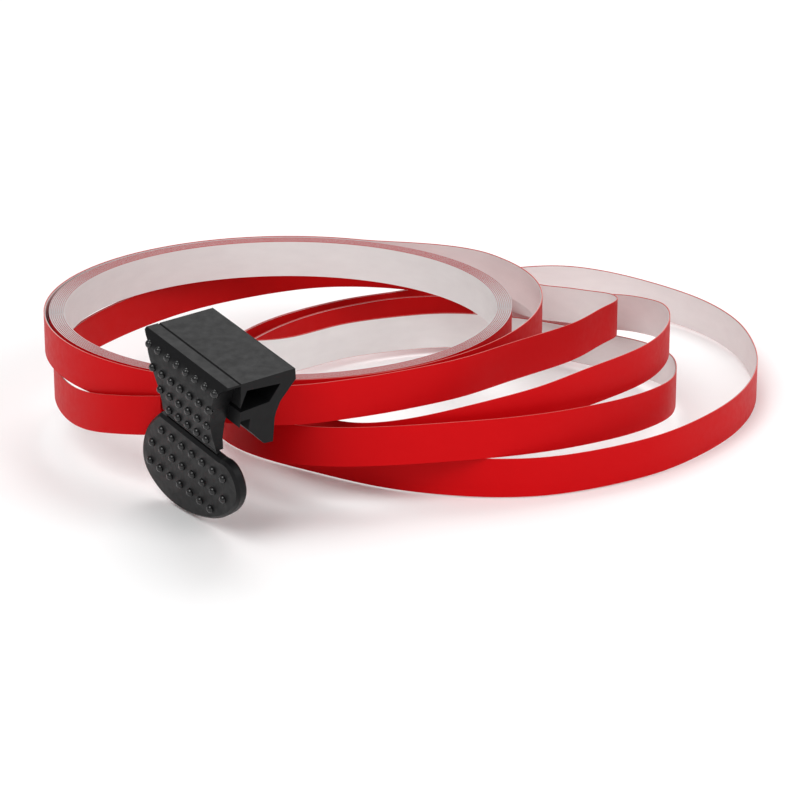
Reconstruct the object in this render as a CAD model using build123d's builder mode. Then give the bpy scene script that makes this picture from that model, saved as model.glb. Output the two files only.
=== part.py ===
from build123d import *
from math import cos, hypot, pi, sin
import os

# Rim striping tape kit: four lengths of narrow adhesive tape wound into one
# loose coil that lies on its side, and the small moulded applicator in front.
# All sizes in mm, +Z up, ground at z = 0.

# Tape
TAPE_WIDTH = 7.0
FILM = 0.14
LINER = 0.14
LINER_WIDTH = 6.8
LAYER_GAP = 0.03
PITCH = 0.35

# Tight coil
COIL_X = -22.65
COIL_Y = 1.85
COIL_INNER = 38.7
COIL_Z = 15.1
TURNS_STRIP_1 = 5
TURNS_STRIP_2 = 4
STEPS_PER_TURN = 48

# Loosened turn of strip 2
BULGE = 6.8
SLACK = 0.6

# Spacing of the stations along the loose turns
STATION_PITCH = 4.0
GROUND_PITCH = 3.5

# Shift of the loose turns and of the applicator, to centre the whole kit
SHIFT_X = -1.35
SHIFT_Y = 12.25

# Loose turns: x, y and height of the tape's lower edge
TOP_TURN = [
    (-36.0, -51.1, 15.1),
    (-30.0, -53.1, 15.0),
    (-23.4, -54.1, 14.9),
    (-16.8, -53.8, 14.9),
    (-10.0, -52.4, 15.2),
    (-3.4, -50.0, 15.4),
    (3.4, -46.2, 15.4),
    (10.3, -41.0, 15.2),
    (17.3, -33.0, 14.7),
    (24.6, -24.4, 14.1),
    (32.2, -14.0, 13.3),
    (36.8, -5.5, 12.9),
    (39.8, 2.0, 12.0),
    (38.8, 8.6, 11.0),
    (35.2, 12.6, 10.3),
    (31.4, 16.6, 9.6),
    (27.0, 21.4, 8.6),
    (20.0, 29.5, 8.0),
    (10.0, 38.3, 7.9),
    (0.0, 43.2, 7.8),
    (-7.9, 44.7, 7.8),
    (-15.8, 44.2, 7.8),
    (-23.5, 41.3, 7.8),
    (-31.2, 36.8, 7.8),
    (-38.6, 31.1, 7.8),
    (-45.9, 23.2, 7.8),
    (-52.6, 13.6, 7.8),
    (-57.4, 5.0, 7.7),
    (-60.8, -5.0, 7.5),
    (-61.9, -15.0, 7.4),
    (-60.3, -25.0, 7.4),
    (-56.6, -34.2, 7.7),
    (-52.8, -40.0, 8.6),
    (-48.4, -44.5, 9.8),
    (-44.0, -47.5, 10.7),
    (-40.4, -49.4, 11.4),
]
MIDDLE_TURNS = [
    (-34.5, -23.0, 7.4),
    (-33.0, -33.0, 7.3),
    (-29.1, -42.0, 7.2),
    (-23.8, -48.4, 7.2),
    (-16.9, -52.4, 7.2),
    (-7.4, -53.4, 7.2),
    (0.0, -52.6, 7.2),
    (10.2, -50.6, 7.2),
    (17.0, -48.7, 7.1),
    (24.0, -46.1, 7.0),
    (34.6, -38.9, 6.3),
    (42.4, -31.0, 5.5),
    (46.8, -24.6, 5.0),
    (49.2, -16.6, 4.0),
    (50.0, -8.0, 3.2),
    (49.2, 0.0, 2.4),
    (46.0, 7.0, 1.8),
    (41.4, 12.4, 1.3),
    (34.6, 18.0, 1.0),
    (27.0, 22.6, 1.0),
    (17.0, 26.4, 1.0),
    (7.7, 27.4, 1.0),
    (0.0, 25.6, 1.0),
    (-11.4, 19.2, 1.4),
    (-19.5, 10.0, 2.2),
    (-25.8, 1.0, 4.4),
    (-29.6, -8.0, 6.8),
    (-30.2, -18.0, 7.3),
    (-28.2, -26.0, 7.2),
    (-24.6, -34.0, 7.2),
    (-19.6, -41.4, 7.1),
    (-14.0, -47.0, 7.0),
    (-8.0, -50.4, 7.0),
    (0.0, -50.5, 7.5),
    (10.2, -48.5, 9.0),
    (17.1, -46.2, 10.0),
    (24.0, -43.2, 11.0),
    (31.4, -37.8, 12.0),
    (38.2, -31.0, 12.2),
    (43.4, -24.0, 12.1),
    (47.0, -15.8, 11.9),
    (48.8, -7.0, 11.7),
    (48.4, 1.0, 11.3),
    (45.8, 8.0, 10.2),
    (41.6, 14.4, 8.9),
    (33.4, 22.4, 6.4),
    (26.6, 28.4, 4.6),
    (20.0, 33.4, 3.0),
    (12.0, 38.2, 1.2),
    (6.0, 40.2, 0.4),
    (0.0, 40.0, 0.1),
    (-7.8, 36.6, 0.0),
    (-15.5, 31.1, 0.0),
    (-22.4, 23.4, 0.0),
    (-27.6, 14.8, 0.0),
    (-31.0, 6.0, 0.0),
    (-32.6, -2.0, 0.0),
]
GROUND_TURN = [
    (-34.6, -10.0, 0.0),
    (-32.6, -18.0, 0.0),
    (-29.0, -25.0, 0.0),
    (-22.0, -32.0, 0.0),
    (-13.9, -37.8, 0.0),
    (-6.9, -42.4, 0.0),
    (0.0, -45.8, 0.0),
    (6.8, -47.9, 0.0),
    (15.4, -49.2, 0.0),
    (23.9, -48.6, 0.0),
    (30.9, -46.2, 0.0),
    (38.0, -42.4, 0.0),
    (45.3, -37.1, 0.0),
    (53.0, -28.7, 0.0),
    (59.6, -18.6, 0.0),
    (64.2, -7.0, 0.0),
    (66.2, 4.0, 0.0),
    (66.2, 15.0, 0.0),
    (64.8, 25.0, 0.0),
    (62.0, 33.0, 0.1),
    (58.4, 39.4, 0.2),
    (53.6, 45.0, 0.4),
    (47.6, 49.2, 1.0),
    (39.8, 52.0, 2.0),
    (31.9, 52.7, 2.7),
    (24.3, 51.8, 2.7),
    (17.0, 50.2, 2.2),
    (10.0, 48.0, 1.2),
    (3.4, 45.8, 0.3),
    (-2.4, 43.6, 0.0),
    (-9.0, 40.4, 0.0),
    (-16.4, 35.2, 0.0),
    (-23.4, 28.6, 0.0),
    (-29.4, 19.8, 0.0),
    (-33.6, 9.0, 0.0),
    (-35.8, 0.0, 0.0),
]


def ease(t):
    """Smooth step from 0 to 1 while t goes from 0 to 1."""
    t = min(max(t, 0.0), 1.0)
    return t * t * (3.0 - 2.0 * t)


def on_coil(turn, radius):
    """Point at a turn count around the coil, lower edge of the tape."""
    angle = 2.0 * pi * (turn - 1.0 / 3.0)
    return (COIL_X + radius * cos(angle), COIL_Y + radius * sin(angle), COIL_Z)


def wound(first, turns):
    """Stations of tightly wound turns that start at layer number first."""
    steps = turns * STEPS_PER_TURN
    radii = [COIL_INNER + PITCH * (first + i / STEPS_PER_TURN) for i in range(steps + 1)]
    return [on_coil(i / STEPS_PER_TURN, radii[i]) for i in range(steps + 1)]


def loosened(layer):
    """Stations of the last turn, which bulges away from the coil on one side."""
    points = []
    for i in range(1, STEPS_PER_TURN + 1):
        degrees = 360.0 * i / STEPS_PER_TURN - 120.0
        rise = ease((degrees + 60.0) / 92.0) ** 1.4
        fall = 1.0 - ease((degrees - 38.0) / 34.0)
        slack = SLACK * ease((degrees + 110.0) / 120.0)
        radius = COIL_INNER + PITCH * (layer + i / STEPS_PER_TURN) + slack + BULGE * rise * fall
        points.append(on_coil(i / STEPS_PER_TURN, radius))
    return points


def along(points, pitch=STATION_PITCH):
    """Evenly spaced stations on a smooth curve through the points."""
    path = Spline(*[(x + SHIFT_X, y + SHIFT_Y, z) for x, y, z in points])
    count = round(path.length / pitch)
    samples = [path @ (i / count) for i in range(count + 1)]
    return [(p.X, p.Y, p.Z) for p in samples]


def sections(stations):
    """Position and level direction of the tape at each station."""
    last = len(stations) - 1
    found = []
    for i, (x, y, z) in enumerate(stations):
        before = stations[max(i - 1, 0)]
        after = stations[min(i + 1, last)]
        run = hypot(after[0] - before[0], after[1] - before[1])
        found.append((x, y, z, (after[0] - before[0]) / run, (after[1] - before[1]) / run))
    return found


def level_wall(places, offset, thickness, width):
    """Wound stretch of constant height, raised from its outline in plan."""
    outer = [(x + ty * (offset + thickness / 2), y - tx * (offset + thickness / 2)) for x, y, z, tx, ty in places]
    inner = [(x + ty * (offset - thickness / 2), y - tx * (offset - thickness / 2)) for x, y, z, tx, ty in places]
    foot = places[0][2] + (TAPE_WIDTH - width) / 2
    with BuildPart() as strip:
        with BuildSketch(Plane.XY.offset(foot)):
            with BuildLine():
                Polyline(*outer, *reversed(inner), close=True)
            make_face()
        extrude(amount=width)
    return strip.part


def loose_band(places, offset, thickness, width):
    """Loose stretch that rises and falls, ruled through upright sections."""
    with BuildPart() as strip:
        for x, y, z, tx, ty in places:
            middle = (x + ty * offset, y - tx * offset, z + TAPE_WIDTH / 2)
            with BuildSketch(Plane(origin=middle, x_dir=(ty, -tx, 0), z_dir=(tx, ty, 0))):
                Rectangle(thickness, width)
        loft(ruled=True)
    return strip.part


def layer(wound_part, loose_part, offset, thickness, width):
    """One layer of a strip: its wound stretch and then its loose stretch."""
    places = sections(wound_part + loose_part)
    split = len(wound_part)
    if not loose_part:
        return level_wall(places, offset, thickness, width)
    if not wound_part:
        return loose_band(places, offset, thickness, width)
    wall = level_wall(places[:split], offset, thickness, width)
    return wall + loose_band(places[split - 1 :], offset, thickness, width)


# Coloured film faces outwards, paper liner faces the middle of the coil
FILM_OFFSET = (FILM + LAYER_GAP) / 2
LINER_OFFSET = -(LINER + LAYER_GAP) / 2

outer_turns = wound(TURNS_STRIP_1, TURNS_STRIP_2 - 1)[1:]
strips = {
    "strip_1": (wound(0, TURNS_STRIP_1), []),
    "strip_2": (outer_turns + loosened(TURNS_STRIP_1 + TURNS_STRIP_2 - 1), along(TOP_TURN)),
    "strip_3": ([], along(MIDDLE_TURNS)),
    "strip_4": ([], along(GROUND_TURN, GROUND_PITCH)),
}

os.makedirs("parts", exist_ok=True)
for name, (wound_part, loose_part) in strips.items():
    film = layer(wound_part, loose_part, FILM_OFFSET, FILM, TAPE_WIDTH)
    film.label = name + "_film"
    export_step(film, "parts/" + name + "_film.step")
    liner = layer(wound_part, loose_part, LINER_OFFSET, LINER, LINER_WIDTH)
    liner.label = name + "_liner"
    export_step(liner, "parts/" + name + "_liner.step")

# Applicator axes: width to the right, depth away from the thumb, height up
WIDE = Vector(0.587, -0.793, -0.165).normalized()
DEEP = Vector(0.808, 0.586, 0.059).normalized()
TALL = WIDE.cross(DEEP)
FACE = Vector(-34.6 + SHIFT_X, -67.5 + SHIFT_Y, 31.5)

# Applicator sizes
HEAD_WIDTH = 24.4
HEAD_DEPTH = 13.0
WAIST_WIDTH = 16.4
WAIST_DROP = 13.9
HOOK_WIDTH = 9.0
HINGE_DROP = 14.4
HINGE_DEPTH = 1.4
HINGE_HEIGHT = 0.85
FLAP_TOP = 15.1
FLAP_FACE = 0.6
FLAP_THICK = 2.0
FLAP_TILT = 9.0
BEAD = 0.65
BEAD_PITCH = 2.8
FLAP_PITCH = 3.1
HEAD_ROWS = [(-1.9, -0.9, 8), (-5.6, -1.05, 7), (-9.3, -0.35, 6), (-12.8, 0.55, 5)]
# Narrowing of each side of the front leg: distance down, cut from the side
TAPER = [(0.4, 0.0), (1.4, 1.7), (5.0, 3.1), (9.0, 4.3), (12.0, 4.4), (15.0, 4.0)]
FLAP_ROWS = [(3.2, 0.6, 7), (7.8, -1.8, 8), (12.4, -5.0, 7)]


def place(wide, deep, tall):
    """World point from distances along the applicator's own axes."""
    return FACE + WIDE * wide + DEEP * deep + TALL * tall


def row(count, pitch):
    """Positions across the width of a row of beads."""
    return [(i - (count - 1) / 2) * pitch for i in range(count)]


right_end = Plane(origin=place(HEAD_WIDTH / 2, 0, 0), x_dir=DEEP, z_dir=WIDE)
front = Plane(origin=place(0, -4.5, 0), x_dir=WIDE, z_dir=DEEP * -1)

# Head: slab with a tape slot below it, front leg and rear hook
with BuildPart() as head:
    with BuildSketch(right_end):
        with BuildLine():
            Polyline(
                (0.0, 0.0),
                (2.2, 0.0),
                (2.4, -0.2),
                (2.6, 0.0),
                (HEAD_DEPTH, 0.0),
                (HEAD_DEPTH + 0.2, -2.0),
                (10.3, -5.3),
                (9.6, -6.9),
                (2.6, -6.9),
                (2.2, -11.7),
                (2.2, -WAIST_DROP),
                (0.8, -WAIST_DROP),
            )
            Spline((0.8, -WAIST_DROP), (-0.4, -9.0), (-1.1, -5.0), (-0.85, -1.2), (0.0, 0.0))
        make_face()
        with BuildLine():
            Polyline((3.7, -1.5), (10.2, -2.0), (8.1, -4.8), (2.2, -5.2), (3.7, -1.5))
        make_face(mode=Mode.SUBTRACT)
    extrude(amount=-HEAD_WIDTH)
    with BuildSketch(right_end):
        Polygon(
            (9.8, -6.5),
            (9.6, -6.9),
            (9.3, -8.0),
            (9.1, -12.5),
            (7.3, -12.3),
            (4.2, -8.9),
            (4.5, -6.5),
            align=None,
        )
    extrude(amount=-HOOK_WIDTH)
    with BuildSketch(front):
        for side in (-1, 1):
            edge = [(side * (HEAD_WIDTH / 2 - cut), -drop) for drop, cut in TAPER]
            outside = side * (HEAD_WIDTH / 2 + 1)
            Polygon(*edge, (outside, edge[-1][1]), (outside, edge[0][1]), align=None)
    extrude(amount=-7.0, mode=Mode.SUBTRACT)
    for drop, depth, count in HEAD_ROWS:
        with Locations(*[place(x, depth, drop) for x in row(count, BEAD_PITCH)]):
            Sphere(BEAD)
head.part.label = "applicator_head"
export_step(head.part, "parts/applicator_head.step")

# Thin flexible web that lets the thumb flap bend
with BuildPart() as web:
    with BuildSketch(Plane(origin=place(0, HINGE_DEPTH, -HINGE_DROP), x_dir=WIDE, z_dir=DEEP)):
        Rectangle(WAIST_WIDTH - 0.4, HINGE_HEIGHT)
    extrude(amount=0.35, both=True)
web.part.label = "applicator_living_hinge"
export_step(web.part, "parts/applicator_living_hinge.step")

# Thumb flap below the hinge
flap_top = place(0, FLAP_FACE, -FLAP_TOP)
flap_plane = Plane(origin=flap_top, x_dir=WIDE, z_dir=DEEP * -1)
lean = Axis(flap_top, WIDE)
with BuildPart() as flap:
    with BuildSketch(flap_plane):
        with BuildLine():
            Line((9.0, 0.0), (-9.0, 0.0))
            Spline(
                (-9.0, 0.0),
                (-13.9, -5.0),
                (-16.8, -10.4),
                (-16.9, -14.8),
                (-13.6, -17.7),
                (-8.0, -18.6),
                (-0.5, -16.9),
                (7.0, -13.0),
                (12.0, -8.4),
                (14.0, -4.2),
                (13.0, -0.9),
                (9.0, 0.0),
            )
        make_face()
    extrude(amount=-FLAP_THICK)
    chamfer(flap.faces().sort_by(Axis(flap_top, DEEP))[0].edges(), length=0.5)
    chamfer(flap.faces().sort_by(Axis(flap_top, DEEP))[-1].edges(), length=0.4)
    for drop, centre, count in FLAP_ROWS:
        spots = [flap_plane.from_local_coords(Vector(x + centre, -drop, 0)) for x in row(count, FLAP_PITCH)]
        with Locations(*spots):
            Sphere(BEAD)
thumb_flap = flap.part.rotate(lean, FLAP_TILT)
thumb_flap.label = "applicator_thumb_flap"
export_step(thumb_flap, "parts/applicator_thumb_flap.step")
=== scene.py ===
"""Looks of the rim striping tape kit: wound tape with loose turns, and the moulded applicator."""

import logging
import math
from dataclasses import dataclass, field
from enum import Enum
from typing import Sequence

import bpy
import numpy as np
from mathutils import Euler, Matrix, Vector

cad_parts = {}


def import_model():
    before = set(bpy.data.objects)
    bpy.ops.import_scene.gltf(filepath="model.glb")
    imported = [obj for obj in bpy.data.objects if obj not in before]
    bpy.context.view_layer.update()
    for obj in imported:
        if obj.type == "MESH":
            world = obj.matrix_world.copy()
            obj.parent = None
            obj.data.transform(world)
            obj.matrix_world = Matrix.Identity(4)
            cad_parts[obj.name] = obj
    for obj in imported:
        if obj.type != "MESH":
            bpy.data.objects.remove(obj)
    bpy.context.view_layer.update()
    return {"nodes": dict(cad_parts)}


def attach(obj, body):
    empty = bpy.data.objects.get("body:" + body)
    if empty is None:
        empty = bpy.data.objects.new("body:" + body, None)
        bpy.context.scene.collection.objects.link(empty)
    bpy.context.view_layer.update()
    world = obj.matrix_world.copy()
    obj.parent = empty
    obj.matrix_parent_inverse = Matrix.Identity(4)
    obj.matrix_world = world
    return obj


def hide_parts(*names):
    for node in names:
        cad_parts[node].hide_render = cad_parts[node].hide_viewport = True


log = logging.getLogger("tape_kit")

MM = 0.001

# Faces that meet at more than this angle keep a sharp or a rounded edge
CREASE = math.radians(40.0)
# Places of the two colours and of the result among a Mix node's sockets
MIX_FIRST, MIX_SECOND, MIX_RESULT = 6, 7, 2

Point = tuple[float, float, float]
Colour = tuple[float, float, float, float]

# Loose turns: points on the lower edge of the tape, in millimetres

TOP_TURN: list[Point] = [
    (-36.0, -51.1, 15.1), (-30.0, -53.1, 15.0), (-23.4, -54.1, 14.9), (-16.8, -53.8, 14.9),
    (-10.0, -52.4, 15.2), (-3.4, -50.0, 15.4), (3.4, -46.2, 15.4), (10.3, -41.0, 15.2),
    (17.3, -33.0, 14.7), (24.6, -24.4, 14.1), (32.2, -14.0, 13.3), (36.8, -5.5, 12.9),
    (39.8, 2.0, 12.0), (38.8, 8.6, 11.0), (35.2, 12.6, 10.3), (31.4, 16.6, 9.6), (27.0, 21.4, 8.6),
    (20.0, 29.5, 8.0), (10.0, 38.3, 7.9), (0.0, 43.2, 7.8), (-7.9, 44.7, 7.8), (-15.8, 44.2, 7.8),
    (-23.5, 41.3, 7.8), (-31.2, 36.8, 7.8), (-38.6, 31.1, 7.8), (-45.9, 23.2, 7.8),
    (-52.6, 13.6, 7.8), (-57.4, 5.0, 7.7), (-60.8, -5.0, 7.5), (-61.9, -15.0, 7.4),
    (-60.3, -25.0, 7.4), (-56.6, -34.2, 7.7), (-52.8, -40.0, 8.6), (-48.4, -44.5, 9.8),
    (-44.0, -47.5, 10.7), (-40.4, -49.4, 11.4),
]
MIDDLE_TURNS: list[Point] = [
    (-34.5, -23.0, 7.4), (-33.0, -33.0, 7.3), (-29.1, -42.0, 7.2), (-23.8, -48.4, 7.2),
    (-16.9, -52.4, 7.2), (-7.4, -53.4, 7.2), (0.0, -52.6, 7.2), (10.2, -50.6, 7.2),
    (17.0, -48.7, 7.1), (24.0, -46.1, 7.0), (34.6, -38.9, 6.3), (42.4, -31.0, 5.5),
    (46.8, -24.6, 5.0), (49.2, -16.6, 4.0), (50.0, -8.0, 3.2), (49.2, 0.0, 2.4), (46.0, 7.0, 1.8),
    (41.4, 12.4, 1.3), (34.6, 18.0, 1.0), (27.0, 22.6, 1.0), (17.0, 26.4, 1.0), (7.7, 27.4, 1.0),
    (0.0, 25.6, 1.0), (-11.4, 19.2, 1.4), (-19.5, 10.0, 2.2), (-25.8, 1.0, 4.4), (-29.6, -8.0, 6.8),
    (-30.2, -18.0, 7.3), (-28.2, -26.0, 7.2), (-24.6, -34.0, 7.2), (-19.6, -41.4, 7.1),
    (-14.0, -47.0, 7.0), (-8.0, -50.4, 7.0), (0.0, -50.5, 7.5), (10.2, -48.5, 9.0),
    (17.1, -46.2, 10.0), (24.0, -43.2, 11.0), (31.4, -37.8, 12.0), (38.2, -31.0, 12.2),
    (43.4, -24.0, 12.1), (47.0, -15.8, 11.9), (48.8, -7.0, 11.7), (48.4, 1.0, 11.3),
    (45.8, 8.0, 10.2), (41.6, 14.4, 8.9), (33.4, 22.4, 6.4), (26.6, 28.4, 4.6), (20.0, 33.4, 3.0),
    (12.0, 38.2, 1.2), (6.0, 40.2, 0.4), (0.0, 40.0, 0.1), (-7.8, 36.6, 0.0), (-15.5, 31.1, 0.0),
    (-22.4, 23.4, 0.0), (-27.6, 14.8, 0.0), (-31.0, 6.0, 0.0), (-32.6, -2.0, 0.0),
]
GROUND_TURN: list[Point] = [
    (-34.6, -10.0, 0.0), (-32.6, -18.0, 0.0), (-29.0, -25.0, 0.0), (-22.0, -32.0, 0.0),
    (-13.9, -37.8, 0.0), (-6.9, -42.4, 0.0), (0.0, -45.8, 0.0), (6.8, -47.9, 0.0),
    (15.4, -49.2, 0.0), (23.9, -48.6, 0.0), (30.9, -46.2, 0.0), (38.0, -42.4, 0.0),
    (45.3, -37.1, 0.0), (53.0, -28.7, 0.0), (59.6, -18.6, 0.0), (64.2, -7.0, 0.0), (66.2, 4.0, 0.0),
    (66.2, 15.0, 0.0), (64.8, 25.0, 0.0), (62.0, 33.0, 0.1), (58.4, 39.4, 0.2), (53.6, 45.0, 0.4),
    (47.6, 49.2, 1.0), (39.8, 52.0, 2.0), (31.9, 52.7, 2.7), (24.3, 51.8, 2.7), (17.0, 50.2, 2.2),
    (10.0, 48.0, 1.2), (3.4, 45.8, 0.3), (-2.4, 43.6, 0.0), (-9.0, 40.4, 0.0), (-16.4, 35.2, 0.0),
    (-23.4, 28.6, 0.0), (-29.4, 19.8, 0.0), (-33.6, 9.0, 0.0), (-35.8, 0.0, 0.0),
]
# Bead rows on the head: height from its upper front edge, depth behind it, number of beads
HEAD_ROWS = [(-1.9, -0.9, 8), (-5.6, -1.05, 7), (-9.3, -0.35, 6), (-12.8, 0.55, 5)]
# Bead rows on the flap: distance down it, shift to the right, number of beads
FLAP_ROWS = [(3.2, 0.6, 7), (7.8, -1.8, 8), (12.4, -5.0, 7)]


class Side(Enum):
    """Which layer of the tape a ribbon is."""

    FILM = "film"
    LINER = "liner"


class Slot(Enum):
    """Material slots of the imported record."""

    FILM = "tape_film"
    LINER = "tape_liner"
    PLASTIC = "applicator_plastic"


class Board:
    """A node tree of one material, with short calls that add and join nodes."""

    def __init__(self, name: str) -> None:
        """Start an empty material.

        Args:
            name: Name of the material.
        """
        self.material = bpy.data.materials.new(name)
        self.material.use_nodes = True
        self.tree = self.material.node_tree
        self.tree.nodes.clear()
        self.shader = self.add("ShaderNodeBsdfPrincipled")
        output = self.add("ShaderNodeOutputMaterial")
        self.join(self.shader.outputs["BSDF"], output.inputs["Surface"])
        self.place = self.add("ShaderNodeTexCoord").outputs["Object"]

    def add(self, kind: str) -> bpy.types.Node:
        """Return a new node of this kind."""
        return self.tree.nodes.new(kind)

    def join(self, source: bpy.types.NodeSocket, target: bpy.types.NodeSocket) -> None:
        """Join two sockets."""
        self.tree.links.new(source, target)

    def noise(self, scale: float, detail: float, stretch: Point = (1.0, 1.0, 1.0)) -> bpy.types.NodeSocket:
        """Return a noise pattern on object coordinates.

        Args:
            scale: Waves per metre.
            detail: Octaves.
            stretch: Factors along X, Y and Z.

        Returns:
            The noise value socket, from 0 to 1.
        """
        mapping = self.add("ShaderNodeMapping")
        mapping.inputs["Scale"].default_value = stretch
        self.join(self.place, mapping.inputs["Vector"])
        noise = self.add("ShaderNodeTexNoise")
        noise.inputs["Scale"].default_value = scale
        noise.inputs["Detail"].default_value = detail
        self.join(mapping.outputs["Vector"], noise.inputs["Vector"])
        return noise.outputs["Fac"]

    def ramp(self, value: bpy.types.NodeSocket, low: float, high: float) -> bpy.types.NodeSocket:
        """Return value mapped smoothly from low..high to 0..1."""
        node = self.add("ShaderNodeMapRange")
        node.interpolation_type = "SMOOTHSTEP"
        node.inputs["From Min"].default_value = low
        node.inputs["From Max"].default_value = high
        self.join(value, node.inputs["Value"])
        return node.outputs["Result"]

    def span(self, value: bpy.types.NodeSocket, low: float, high: float) -> bpy.types.NodeSocket:
        """Return value mapped from 0.3..0.7 to low..high."""
        node = self.add("ShaderNodeMapRange")
        node.inputs["From Min"].default_value = 0.3
        node.inputs["From Max"].default_value = 0.7
        node.inputs["To Min"].default_value = low
        node.inputs["To Max"].default_value = high
        self.join(value, node.inputs["Value"])
        return node.outputs["Result"]

    def mix(
        self,
        share: bpy.types.NodeSocket,
        first: "Colour | bpy.types.NodeSocket",
        second: "Colour | bpy.types.NodeSocket",
    ) -> bpy.types.NodeSocket:
        """Return the mix of two colours, each a value or a socket, by a share."""
        node = self.add("ShaderNodeMix")
        node.data_type = "RGBA"
        self.join(share, node.inputs["Factor"])
        for socket, colour in ((node.inputs[MIX_FIRST], first), (node.inputs[MIX_SECOND], second)):
            if isinstance(colour, tuple):
                socket.default_value = colour
            else:
                self.join(colour, socket)
        return node.outputs[MIX_RESULT]

    def upward(self) -> bpy.types.NodeSocket:
        """Return 1 on faces that point up, where the tape's cut edge shows, and 0 on upright ones."""
        geometry = self.add("ShaderNodeNewGeometry")
        split = self.add("ShaderNodeSeparateXYZ")
        self.join(geometry.outputs["True Normal"], split.inputs["Vector"])
        return self.ramp(split.outputs["Z"], 0.6, 0.9)

    def attribute(self, name: str) -> bpy.types.NodeSocket:
        """Return a number stored on the piece's own points."""
        node = self.add("ShaderNodeAttribute")
        node.attribute_name = name
        return node.outputs["Fac"]

    def bump(self, height: bpy.types.NodeSocket, strength: float, distance: float) -> None:
        """Give the surface fine relief from a height pattern."""
        node = self.add("ShaderNodeBump")
        node.inputs["Strength"].default_value = strength
        node.inputs["Distance"].default_value = distance
        self.join(height, node.inputs["Height"])
        self.join(node.outputs["Normal"], self.shader.inputs["Normal"])


@dataclass(frozen=True)
class FilmFinish:
    """Satin coloured vinyl film with a paler cut edge."""

    name: str = "vinyl_film"
    deep: Colour = (0.520, 0.0010, 0.0030, 1.0)
    bright: Colour = (0.580, 0.0020, 0.0040, 1.0)
    edge: Colour = (0.700, 0.200, 0.180, 1.0)
    wound_edge: Colour = (0.560, 0.500, 0.500, 1.0)

    def make(self) -> bpy.types.Material:
        """Return the film material."""
        board = Board(self.name)
        body = board.mix(board.noise(60.0, 3.0), self.deep, self.bright)
        edge = board.mix(board.attribute("wound"), self.edge, self.wound_edge)
        board.join(board.mix(board.upward(), body, edge), board.shader.inputs["Base Color"])
        board.join(board.span(board.noise(900.0, 2.0), 0.42, 0.52), board.shader.inputs["Roughness"])
        board.shader.inputs["Specular IOR Level"].default_value = 0.07
        board.bump(board.noise(1400.0, 3.0, (1.0, 1.0, 0.5)), 0.12, 0.00002)
        return board.material


@dataclass(frozen=True)
class LinerFinish:
    """Release paper: off-white, faintly fibrous, with a printed film side where the mask is set."""

    name: str = "release_paper"
    light: Colour = (0.800, 0.770, 0.760, 1.0)
    shade: Colour = (0.720, 0.685, 0.680, 1.0)
    film_deep: Colour = (0.500, 0.0020, 0.0030, 1.0)
    film_bright: Colour = (0.570, 0.0040, 0.0045, 1.0)
    edge: Colour = (0.560, 0.520, 0.520, 1.0)

    def make(self) -> bpy.types.Material:
        """Return the paper material."""
        board = Board(self.name)
        paper = board.mix(board.noise(220.0, 5.0, (1.0, 1.0, 3.0)), self.shade, self.light)
        film = board.mix(board.noise(60.0, 3.0), self.film_deep, self.film_bright)
        body = board.mix(board.attribute("film_side"), paper, film)
        board.join(board.mix(board.upward(), body, self.edge), board.shader.inputs["Base Color"])
        board.join(board.span(board.noise(500.0, 4.0), 0.48, 0.62), board.shader.inputs["Roughness"])
        board.shader.inputs["Specular IOR Level"].default_value = 0.15
        board.bump(board.noise(2600.0, 4.0, (1.0, 1.0, 2.0)), 0.15, 0.00002)
        return board.material


@dataclass(frozen=True)
class MouldedFinish:
    """Black moulded plastic with a fine eroded texture and slightly worn tone."""

    name: str
    dark: Colour = (0.0030, 0.0030, 0.0033, 1.0)
    light: Colour = (0.0060, 0.0060, 0.0066, 1.0)
    rough_low: float = 0.38
    rough_high: float = 0.50
    relief: float = 0.25
    sheen: float = 0.16

    def make(self) -> bpy.types.Material:
        """Return the plastic material."""
        board = Board(self.name)
        tone = board.mix(board.noise(180.0, 4.0), self.dark, self.light)
        board.join(tone, board.shader.inputs["Base Color"])
        rough = board.span(board.noise(700.0, 3.0), self.rough_low, self.rough_high)
        board.join(rough, board.shader.inputs["Roughness"])
        board.shader.inputs["Specular IOR Level"].default_value = self.sheen
        board.bump(board.noise(3800.0, 2.0), self.relief, 0.00003)
        return board.material


@dataclass(frozen=True)
class FloorFinish:
    """Pale seamless studio paper."""

    name: str = "studio_paper"
    low: Colour = (0.96, 0.96, 0.96, 1.0)
    high: Colour = (0.98, 0.98, 0.98, 1.0)

    def make(self) -> bpy.types.Material:
        """Return the floor material."""
        board = Board(self.name)
        board.join(board.mix(board.noise(8.0, 2.0), self.low, self.high), board.shader.inputs["Base Color"])
        board.shader.inputs["Roughness"].default_value = 0.9
        return board.material


def make_mesh(name: str, points: np.ndarray, faces: list[list[int]]) -> bpy.types.Object:
    """Put arrays into a new smooth-shaded mesh object with sharp corners kept.

    Args:
        name: Name of the piece.
        points: Positions in metres, one row per point.
        faces: Corner indices of each face.

    Returns:
        The linked object.
    """
    mesh = bpy.data.meshes.new(name)
    mesh.from_pydata(points.tolist(), [], faces)
    mesh.update()
    mesh.shade_smooth()
    mesh.set_sharp_from_angle(angle=CREASE)
    piece = bpy.data.objects.new(name, mesh)
    bpy.context.scene.collection.objects.link(piece)
    return piece


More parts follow.
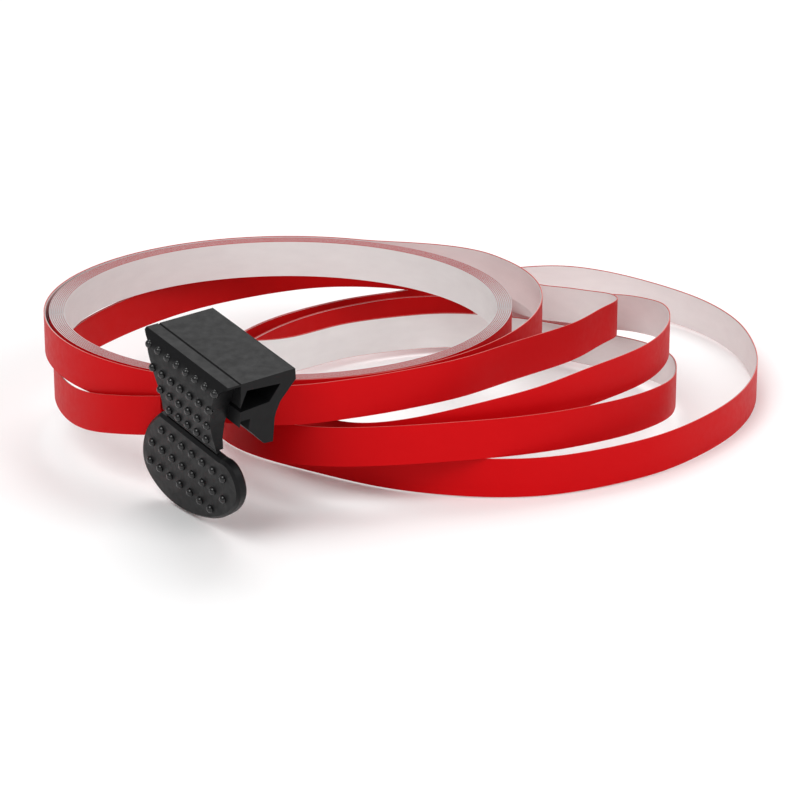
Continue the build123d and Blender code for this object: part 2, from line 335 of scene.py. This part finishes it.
def smooth_path(points: Sequence[Point], spacing: float) -> np.ndarray:
    """Points at even spacing on a natural cubic spline through the given points.

    The spline's parameter is the summed chord length. Its second derivatives m solve
    the usual three-term system, with m = 0 at both ends, and between two points the
    curve is the cubic that has those second derivatives.

    Args:
        points: Control points in millimetres.
        spacing: Distance between the returned points, in millimetres.

    Returns:
        Positions in millimetres, one row per point.
    """
    knots = np.array(points, float)
    step = np.linalg.norm(np.diff(knots, axis=0), axis=1)
    along = np.concatenate(([0.0], np.cumsum(step)))
    size = len(knots)
    system = np.eye(size)
    inner = np.arange(1, size - 1)
    system[inner, inner - 1] = step[:-1]
    system[inner, inner] = 2.0 * (step[:-1] + step[1:])
    system[inner, inner + 1] = step[1:]
    slope = np.diff(knots, axis=0) / step[:, None]
    right = np.zeros_like(knots)
    right[1:-1] = 6.0 * np.diff(slope, axis=0)
    second = np.linalg.solve(system, right)
    place = np.linspace(0.0, along[-1], int(along[-1] / spacing) + 1)
    index = np.clip(np.searchsorted(along, place, side="right") - 1, 0, size - 2)
    h = step[index][:, None]
    a = (along[index + 1] - place)[:, None] / h
    b = 1.0 - a
    bend = ((a**3 - a) * second[index] + (b**3 - b) * second[index + 1]) * h**2 / 6.0
    return a * knots[index] + b * knots[index + 1] + bend


def ease(t: np.ndarray) -> np.ndarray:
    """Smooth step 3t^2 - 2t^3, with t held between 0 and 1."""
    t = np.clip(t, 0.0, 1.0)
    return t * t * (3.0 - 2.0 * t)


@dataclass
class TapeStock:
    """The tape itself: sizes in millimetres and the two finishes."""

    width: float = 7.0
    liner_width: float = 6.8
    film: float = 0.14
    liner: float = 0.14
    gap: float = 0.03
    film_finish: bpy.types.Material = field(default_factory=lambda: FilmFinish().make())
    liner_finish: bpy.types.Material = field(default_factory=lambda: LinerFinish().make())

    def ribbon(
        self, name: str, path: np.ndarray, side: Side, mask: np.ndarray, wound: np.ndarray
    ) -> bpy.types.Object:
        """Make one layer of the tape, standing on edge along a path.

        At each path point the unit tangent t is the normalised central difference in
        plan, and n = (ty, -tx) points out of the coil. The four corners of the section
        are path + n * (offset +- thickness / 2), at the lower and the upper edge.

        Args:
            name: Name of the CAD node that the ribbon stands for.
            path: Lower edge of the tape in millimetres, one row per point.
            side: Film or liner.
            mask: For each path point, 1 where the inner face shows film.
            wound: For each path point, 1 in the tight coil, whose edges look grey.

        Returns:
            The finished piece.
        """
        film = side is Side.FILM
        thick = self.film if film else self.liner
        height = self.width if film else self.liner_width
        offset = (thick + self.gap) / 2 * (1.0 if film else -1.0)
        tangent = np.gradient(path[:, :2], axis=0)
        tangent /= np.linalg.norm(tangent, axis=1)[:, None]
        normal = np.stack([tangent[:, 1], -tangent[:, 0]], axis=1)
        out = np.array([0.5, 0.5, -0.5, -0.5]) * thick + offset
        up = np.array([0.0, 1.0, 1.0, 0.0]) * height + (self.width - height) / 2
        grid = np.empty((len(path), 4, 3))
        grid[:, :, :2] = path[:, None, :2] + normal[:, None, :] * out[None, :, None]
        grid[:, :, 2] = path[:, None, 2] + up[None, :]
        start = np.arange(len(path) - 1)[:, None] * 4
        corner = np.arange(4)[None, :]
        follow = (corner + 1) % 4
        quads = np.stack([start + corner, start + 4 + corner, start + 4 + follow, start + follow], axis=2)
        last = (len(path) - 1) * 4
        faces = quads.reshape(-1, 4).tolist() + [[0, 1, 2, 3], [last + 3, last + 2, last + 1, last]]
        piece = make_mesh(name + "_look", grid.reshape(-1, 3) * MM, faces)
        for label, values in (("film_side", mask), ("wound", wound)):
            stored = piece.data.attributes.new(label, "FLOAT", "POINT")
            stored.data.foreach_set("value", np.repeat(values, 4).astype(np.float32))
        piece.data.materials.append(self.film_finish if film else self.liner_finish)
        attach(piece, "tape")
        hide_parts(name)
        return piece


@dataclass
class TapeBundle:
    """The four strips: two wound tightly, then the loose turns.

    Lengths are in millimetres and angles in degrees, and every wound turn starts at the
    seam. A rise or a fall is the angle that it starts at and the angle that it takes.
    """

    stock: TapeStock
    centre_x: float = -22.65
    centre_y: float = 1.85
    inner: float = 38.7
    base: float = 15.1
    pitch: float = 0.35
    first_turns: int = 5
    second_turns: int = 3
    seam: float = -120.0
    bulge: float = 6.8
    bulge_rise: tuple[float, float] = (-60.0, 92.0)
    bulge_lean: float = 1.4
    bulge_fall: tuple[float, float] = (38.0, 34.0)
    slack: float = 0.6
    slack_rise: tuple[float, float] = (-110.0, 120.0)
    shift: Point = (-1.35, 12.25, 0.0)
    spacing: float = 1.2
    per_turn: int = 192
    points_between_strips: int = 4

    def wound(self, first: int, turns: int) -> np.ndarray:
        """Spiral path whose radius grows by the pitch in each turn.

        Args:
            first: Layer number that the spiral starts at.
            turns: Number of turns.

        Returns:
            Lower edge of the tape in millimetres.
        """
        turn = np.linspace(0.0, turns, turns * self.per_turn + 1)
        return self.on_coil(turn, self.inner + self.pitch * (first + turn))

    def loosened(self, layer: int) -> np.ndarray:
        """Last wound turn: the spiral plus slack plus a smooth bulge on one side.

        Args:
            layer: Layer number of this turn.

        Returns:
            Lower edge of the tape in millimetres.
        """
        turn = np.linspace(0.0, 1.0, self.per_turn + 1)[1:]
        degrees = 360.0 * turn + self.seam
        rise, fall, slack = (
            ease((degrees - start) / extent)
            for start, extent in (self.bulge_rise, self.bulge_fall, self.slack_rise)
        )
        swell = self.bulge * rise**self.bulge_lean * (1.0 - fall)
        radius = self.inner + self.pitch * (layer + turn) + self.slack * slack + swell
        return self.on_coil(turn, radius)

    def on_coil(self, turn: np.ndarray, radius: np.ndarray) -> np.ndarray:
        """Polar to plan: centre + radius * (cos, sin) of the turned angle."""
        angle = 2.0 * np.pi * turn + math.radians(self.seam)
        x = self.centre_x + radius * np.cos(angle)
        y = self.centre_y + radius * np.sin(angle)
        return np.stack([x, y, np.full_like(x, self.base)], axis=1)

    def loose(self, points: Sequence[Point]) -> np.ndarray:
        return smooth_path(points, self.spacing) + np.array(self.shift)

    def film_inside(self, path: np.ndarray, start: float, limit: float) -> np.ndarray:
        """Mask of the left part of a turn, where its inner face shows film.

        Args:
            path: Path in millimetres.
            start: Share of the path's length after which the mask may begin.
            limit: X in millimetres, left of which the mask is set.

        Returns:
            0 or 1 for each path point, eased over 1 mm.
        """
        share = np.linspace(0.0, 1.0, len(path))
        return ease(limit - path[:, 0]) * (share > start)

    def build(self) -> list[bpy.types.Object]:
        """Make both layers of all four strips and return the pieces."""
        coil = self.wound(0, self.first_turns)
        tight = self.wound(self.first_turns, self.second_turns)[self.points_between_strips :]
        bulged = self.loosened(self.first_turns + self.second_turns)
        top = self.loose(TOP_TURN)
        middle = self.loose(MIDDLE_TURNS)
        ground = self.loose(GROUND_TURN)
        rolled = np.concatenate([tight, bulged])
        still = np.zeros(len(rolled))
        strips = {
            "strip_1": (coil, np.zeros(len(coil)), np.ones(len(coil))),
            "strip_2": (
                np.concatenate([rolled, top]),
                np.concatenate([still, self.film_inside(top, 0.4, 6.0)]),
                np.concatenate([np.ones(len(tight)), np.zeros(len(bulged) + len(top))]),
            ),
            "strip_3": (middle, self.film_inside(middle, 0.72, 14.0), np.zeros(len(middle))),
            "strip_4": (ground, self.film_inside(ground, 0.5, 14.0), np.zeros(len(ground))),
        }
        pieces = []
        for name, (path, mask, wound) in strips.items():
            for side in Side:
                pieces.append(self.stock.ribbon(f"{name}_{side.value}", path, side, mask, wound))
                log.info("made %s %s", name, side.value)
        return pieces


@dataclass
class Applicator:
    """The moulded applicator: head, living hinge and thumb flap with rows of beads.

    The face is the middle of the head's upper front edge. Lengths are in millimetres and
    the tilt is in degrees.
    """

    nodes: dict[str, bpy.types.Object]
    plastic: bpy.types.Material = field(default_factory=lambda: MouldedFinish("moulded_plastic").make())
    polished: bpy.types.Material = field(
        default_factory=lambda: MouldedFinish(
            "polished_beads", rough_low=0.10, rough_high=0.18, relief=0.05, sheen=0.5
        ).make()
    )
    face: Point = (-35.95, -55.25, 31.5)
    wide: Point = (0.587, -0.793, -0.165)
    deep: Point = (0.808, 0.586, 0.059)
    bead: float = 0.74
    bead_sides: int = 16
    bead_rings: int = 9
    pitch: float = 2.8
    flap_pitch: float = 3.1
    flap_drop: float = 15.1
    flap_depth: float = 0.6
    flap_tilt: float = 9.0
    rounding: float = 0.3
    rounding_steps: int = 3
    same_point: float = 0.001

    def axes(self) -> tuple[np.ndarray, np.ndarray, np.ndarray]:
        """Return unit vectors along the width, depth and height."""
        wide = np.array(self.wide) / np.linalg.norm(self.wide)
        deep = np.array(self.deep) / np.linalg.norm(self.deep)
        return wide, deep, np.cross(wide, deep)

    def smooth_copy(self, node: str, body: str) -> bpy.types.Object:
        """Copy a CAD node, merge its points, round its edges and dress it.

        Args:
            node: Name of the CAD node.
            body: CAD body that it rides on.

        Returns:
            The finished piece.
        """
        mesh = self.nodes[node].data.copy()
        piece = bpy.data.objects.new(node + "_look", mesh)
        bpy.context.scene.collection.objects.link(piece)
        bpy.context.view_layer.objects.active = piece
        mesh.materials.clear()
        mesh.materials.append(self.plastic)
        mesh.shade_smooth()
        weld = piece.modifiers.new("weld", "WELD")
        weld.merge_threshold = self.same_point * MM
        rounding = piece.modifiers.new("rounding", "BEVEL")
        rounding.width = self.rounding * MM
        rounding.segments = self.rounding_steps
        rounding.limit_method = "ANGLE"
        rounding.angle_limit = CREASE
        rounding.use_clamp_overlap = True
        normals = piece.modifiers.new("normals", "WEIGHTED_NORMAL")
        normals.mode = "FACE_AREA"
        normals.weight = 100
        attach(piece, body)
        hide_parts(node)
        return piece

    def beads(self, name: str, centres: np.ndarray, body: str) -> bpy.types.Object:
        """Closed small domes at the given centres, all in one mesh.

        Each dome is the sphere centre + r * (sin v cos u, sin v sin u, cos v) on a grid
        of u and v, closed by a point at each pole.

        Args:
            name: Name of the piece.
            centres: Bead centres in millimetres.
            body: CAD body that they ride on.

        Returns:
            The finished piece.
        """
        around, rings = self.bead_sides, self.bead_rings
        u = np.linspace(0.0, 2.0 * np.pi, around, endpoint=False)
        v = np.linspace(0.0, np.pi, rings + 2)[1:-1]
        grid_v, grid_u = np.meshgrid(v, u, indexing="ij")
        ball = np.stack(
            [np.sin(grid_v) * np.cos(grid_u), np.sin(grid_v) * np.sin(grid_u), np.cos(grid_v)], axis=2
        ).reshape(-1, 3)
        ball = np.concatenate([ball, [[0.0, 0.0, 1.0], [0.0, 0.0, -1.0]]])
        points = (centres[:, None, :] + ball[None] * self.bead).reshape(-1, 3)
        i = np.arange(rings - 1)[:, None] * around
        j = np.arange(around)[None, :]
        k = (j + 1) % around
        quads = np.stack([i + j, i + around + j, i + around + k, i + k], axis=2).reshape(-1, 4)
        north, south = rings * around, rings * around + 1
        low = (rings - 1) * around
        caps = [[north, a, (a + 1) % around] for a in range(around)]
        caps += [[south, low + (a + 1) % around, low + a] for a in range(around)]
        one = [list(q) for q in quads.tolist()] + caps
        faces = [[c + b * len(ball) for c in f] for b in range(len(centres)) for f in one]
        piece = make_mesh(name, points * MM, faces)
        piece.data.materials.append(self.polished)
        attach(piece, body)
        return piece

    @staticmethod
    def row(count: int, pitch: float) -> np.ndarray:
        """Positions across the width of a row of beads."""
        return (np.arange(count) - (count - 1) / 2) * pitch

    def build(self) -> list[bpy.types.Object]:
        """Make the three moulded pieces and the beads, and return them."""
        wide, deep, tall = self.axes()
        face = np.array(self.face)
        head = np.concatenate(
            [face + self.row(n, self.pitch)[:, None] * wide + d * deep + h * tall for h, d, n in HEAD_ROWS]
        )
        tilt = math.radians(self.flap_tilt)
        down = deep * math.sin(tilt) - tall * math.cos(tilt)
        top = face + self.flap_depth * deep - self.flap_drop * tall
        flap = np.concatenate(
            [top + (self.row(n, self.flap_pitch) + c)[:, None] * wide + v * down for v, c, n in FLAP_ROWS]
        )
        pieces = [
            self.smooth_copy("applicator_head", "applicator"),
            self.smooth_copy("applicator_living_hinge", "applicator"),
            self.smooth_copy("applicator_thumb_flap", "thumb_flap"),
            self.beads("applicator_head_beads", head, "applicator"),
            self.beads("applicator_flap_beads", flap, "thumb_flap"),
        ]
        for piece in pieces:
            log.info("made %s", piece.name)
        return pieces


@dataclass
class Studio:
    """Pale floor, soft lights and the camera, with places in metres."""

    camera_at: Point = (-0.00135, -0.55295, 0.2013)
    pitch: float = 19.6
    lens: float = 145.9
    sensor: float = 36.0
    floor_size: float = 6.0
    floor_drop: float = 0.0003
    ambient: float = 0.42
    lamp_size: float = 1.0
    lamps: tuple[tuple[str, Point, float], ...] = (
        ("key", (-0.6, -0.9, 1.3), 13.0),
        ("fill", (1.0, -0.9, 0.9), 8.0),
        ("back", (0.1, 0.9, 1.3), 9.0),
    )

    def floor(self) -> bpy.types.Object:
        """Make the floor: a flat sheet whose far edge is out of sight."""
        half = self.floor_size / 2
        low = -self.floor_drop
        square = np.array([[-half, -half, low], [half, -half, low], [half, half, low], [-half, half, low]])
        floor = make_mesh("studio_floor", square, [[0, 1, 2, 3]])
        floor.data.materials.append(FloorFinish().make())
        return floor

    def lamp(self, name: str, at: Point, power: float) -> bpy.types.Object:
        data = bpy.data.lights.new(name, "AREA")
        data.shape = "SQUARE"
        data.size = self.lamp_size
        data.energy = power
        lamp = bpy.data.objects.new(name, data)
        lamp.location = at
        lamp.rotation_euler = (-Vector(at)).to_track_quat("-Z", "Y").to_euler()
        bpy.context.scene.collection.objects.link(lamp)
        return lamp

    def build(self) -> None:
        """Add the floor, the world light, three lights and the camera."""
        self.floor()
        world = bpy.data.worlds.new("studio")
        world.use_nodes = True
        background = world.node_tree.nodes["Background"]
        background.inputs["Color"].default_value = (1.0, 1.0, 1.0, 1.0)
        background.inputs["Strength"].default_value = self.ambient
        bpy.context.scene.world = world
        for name, place, power in self.lamps:
            self.lamp(name, place, power)
        data = bpy.data.cameras.new("camera")
        data.lens = self.lens
        data.sensor_width = self.sensor
        data.clip_start = 0.01
        camera = bpy.data.objects.new("camera", data)
        camera.location = self.camera_at
        camera.rotation_euler = Euler((math.radians(90.0 - self.pitch), 0.0, 0.0))
        bpy.context.scene.collection.objects.link(camera)
        bpy.context.scene.camera = camera
        bpy.context.scene.view_settings.view_transform = "Standard"


def main() -> None:
    logging.basicConfig(level=logging.INFO)
    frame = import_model()
    TapeBundle(TapeStock()).build()
    Applicator(frame["nodes"]).build()
    Studio().build()


if __name__ == "__main__":
    main()
